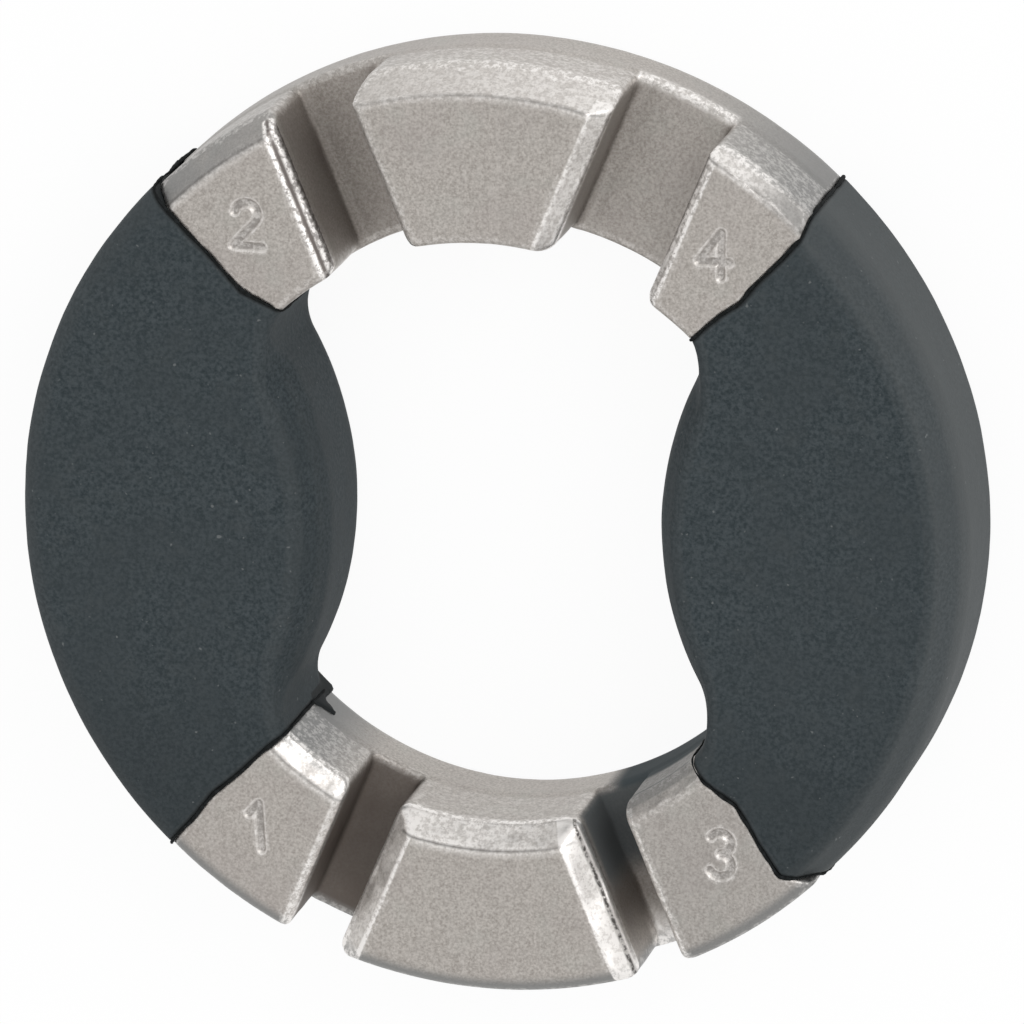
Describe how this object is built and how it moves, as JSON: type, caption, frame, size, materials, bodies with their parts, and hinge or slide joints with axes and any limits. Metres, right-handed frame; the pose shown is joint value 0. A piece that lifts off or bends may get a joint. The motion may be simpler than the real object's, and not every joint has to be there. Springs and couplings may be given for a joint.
{
  "type": "spoke wrench",
  "caption": "Ring-shaped spoke wrench with radial jaw slots of different widths and rubber grips that swell into the bore.",
  "frame": {"origin": "on the ring's axis, in the plane of the back face", "axes": "+Z along the ring's axis out of the front face, +X through the right grip, +Y through the plain block at the top"},
  "size_m": [0.0644, 0.064, 0.0118],
  "materials": {
    "cast_steel": "satin nickel over a fine cast surface",
    "grip_rubber": "matt, with faint moulding marks"
  },
  "bodies": {
    "root": {"ring_body": "cast_steel", "left_grip": "grip_rubber", "right_grip": "grip_rubber"}
  },
  "joints": []
}
